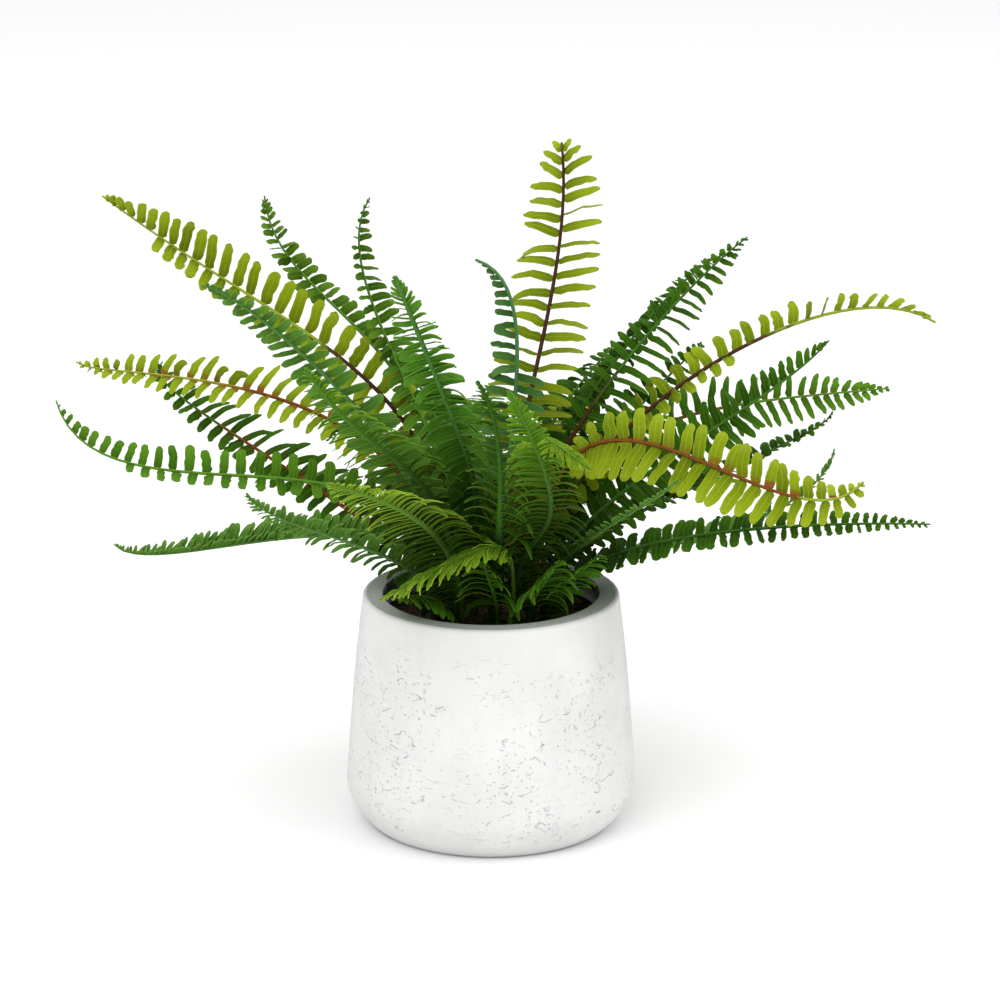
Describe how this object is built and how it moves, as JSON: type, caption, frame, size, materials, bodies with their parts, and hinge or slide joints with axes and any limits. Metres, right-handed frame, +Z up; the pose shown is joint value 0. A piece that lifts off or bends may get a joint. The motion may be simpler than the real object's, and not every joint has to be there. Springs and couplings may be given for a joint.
{
  "type": "potted fern",
  "caption": "Bushy sword fern with arching comb-like fronds, growing in a round cast cement pot that swells towards its foot.",
  "frame": {"origin": "centre of the pot's flat foot, on the surface it stands on", "axes": "+Z up along the pot's axis, -Y towards the front of the picture, +X to its right"},
  "size_m": [0.4748, 0.3357, 0.3621],
  "materials": {
    "cement": "matte, pitted",
    "soil": "matte, crumbly",
    "frond_lime": "satin leaf",
    "frond_mid": "satin leaf",
    "frond_dark": "satin leaf",
    "frond_blue": "matte leaf underside"
  },
  "bodies": {
    "root": {"pot": "cement", "potting_soil": "soil", "frond_front_tall": "frond_mid", "frond_front_left": "frond_mid", "frond_front_light": "frond_lime", "frond_front_centre": "frond_mid", "frond_front_centre_long": "frond_dark", "frond_front_over_rim": "frond_lime", "frond_front_small_lime": "frond_lime", "frond_front_low_left": "frond_dark", "frond_front_low_right": "frond_dark", "frond_front_right_inner": "frond_blue", "frond_inner_left": "frond_dark", "frond_inner_right": "frond_dark", "frond_left_blue": "frond_blue", "frond_left_lime_high": "frond_lime", "frond_left_lime": "frond_lime", "frond_left_long": "frond_mid", "frond_left_low": "frond_blue", "frond_left_front_low": "frond_blue", "frond_left_dark": "frond_dark", "frond_left_slim_high": "frond_dark", "frond_left_upright": "frond_dark", "frond_centre_slim": "frond_blue", "frond_centre_lime_tall": "frond_lime", "frond_right_lime_broad": "frond_lime", "frond_right_dark_high": "frond_dark", "frond_right_dark_behind": "frond_dark", "frond_right_lime_arching": "frond_lime", "frond_right_dark": "frond_dark", "frond_right_mid": "frond_mid", "frond_right_small_dark": "frond_dark", "frond_right_edge": "frond_dark", "frond_right_blue": "frond_blue", "frond_right_low": "frond_dark", "frond_back_upright": "frond_mid", "frond_back_upright_left": "frond_dark", "frond_back_upright_right": "frond_dark", "frond_back_right": "frond_mid", "frond_back_right_inner": "frond_lime", "frond_back_middle": "frond_dark", "frond_back_left_inner": "frond_mid", "frond_back_left": "frond_dark", "frond_back_low_left": "frond_blue", "frond_back_low_right": "frond_blue"}
  },
  "joints": []
}
